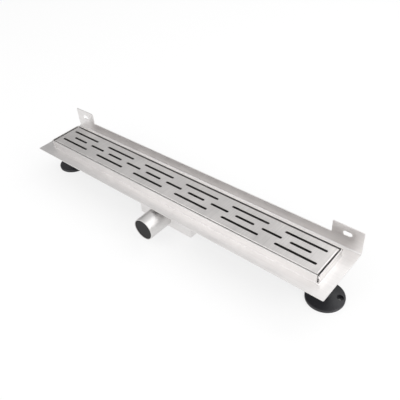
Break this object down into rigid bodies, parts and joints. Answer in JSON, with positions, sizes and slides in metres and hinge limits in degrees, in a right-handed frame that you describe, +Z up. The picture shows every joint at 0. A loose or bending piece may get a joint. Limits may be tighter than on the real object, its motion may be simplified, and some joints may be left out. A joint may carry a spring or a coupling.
{
  "type": "linear shower channel drain",
  "caption": "Linear shower drain: slotted steel grate in a raised collar with tiling flange, wall upstand, sump box with side outlet, odour trap and levelling feet.",
  "frame": {"origin": "middle of the grate's top, which is level with the collar's top and the tiled floor", "axes": "+X along the channel, +Y towards the wall, +Z up; the outlet points to -Y"},
  "size_m": [0.653, 0.1358, 0.1014],
  "materials": {
    "sheet_steel": "satin brushed stainless sheet",
    "grate_steel": "satin brushed along the length",
    "pipe_steel": "smooth drawn tube",
    "plug_plastic": "matt black",
    "seal_rubber": "matt black",
    "trap_plastic": "matt dark grey",
    "strainer_steel": "satin",
    "bracket_steel": "satin",
    "nut_steel": "turned",
    "stud_steel": "rolled thread",
    "pad_plastic": "moulded, slightly glossy black"
  },
  "bodies": {
    "drain": {"channel_body": "sheet_steel", "trough": "sheet_steel", "cross_tie_right": "sheet_steel", "cross_tie_left": "sheet_steel", "sump_box": "sheet_steel", "outlet_pipe": "pipe_steel", "outlet_plug": "plug_plastic", "grate": "grate_steel", "grate_rib_rear": "grate_steel", "grate_rib_front": "grate_steel", "trap_seal": "seal_rubber", "trap_funnel": "trap_plastic", "trap_cup": "trap_plastic", "hair_strainer": "strainer_steel", "foot_bracket_right": "bracket_steel", "foot_bracket_left": "bracket_steel"},
    "adjusting_nut_r": {"adjusting_nut_right": "nut_steel"},
    "lock_nut_r": {"lock_nut_right": "nut_steel"},
    "foot_r": {"foot_stud_right": "stud_steel", "foot_pad_right": "pad_plastic"},
    "adjusting_nut_l": {"adjusting_nut_left": "nut_steel"},
    "lock_nut_l": {"lock_nut_left": "nut_steel"},
    "foot_l": {"foot_stud_left": "stud_steel", "foot_pad_left": "pad_plastic"}
  },
  "joints": [
    {"name": "adjusting_nut_turn_right", "type": "hinge", "parent": "drain", "child": "adjusting_nut_r", "pos_m": [0.2965, 0, -0.05075], "axis": [0, 0, 1], "range_deg": [-1440, 4608]},
    {"name": "lock_nut_turn_right", "type": "hinge", "parent": "drain", "child": "lock_nut_r", "pos_m": [0.2965, 0, -0.043], "axis": [0, 0, 1], "range_deg": [-1440, 4608]},
    {"name": "foot_height_right", "type": "slide", "parent": "drain", "child": "foot_r", "axis": [0, 0, -1], "range_m": [-0.005, 0.016]},
    {"name": "adjusting_nut_turn_left", "type": "hinge", "parent": "drain", "child": "adjusting_nut_l", "pos_m": [-0.2965, 0, -0.05075], "axis": [0, 0, 1], "range_deg": [-1440, 4608]},
    {"name": "lock_nut_turn_left", "type": "hinge", "parent": "drain", "child": "lock_nut_l", "pos_m": [-0.2965, 0, -0.043], "axis": [0, 0, 1], "range_deg": [-1440, 4608]},
    {"name": "foot_height_left", "type": "slide", "parent": "drain", "child": "foot_l", "axis": [0, 0, -1], "range_m": [-0.005, 0.016]}
  ],
  "couplings": [
    {"joint": "foot_height_right", "follows": "adjusting_nut_turn_right", "m_per_rad": 0.00019894},
    {"joint": "lock_nut_turn_right", "follows": "adjusting_nut_turn_right", "ratio": 1},
    {"joint": "foot_height_left", "follows": "adjusting_nut_turn_left", "m_per_rad": 0.00019894},
    {"joint": "lock_nut_turn_left", "follows": "adjusting_nut_turn_left", "ratio": 1}
  ]
}
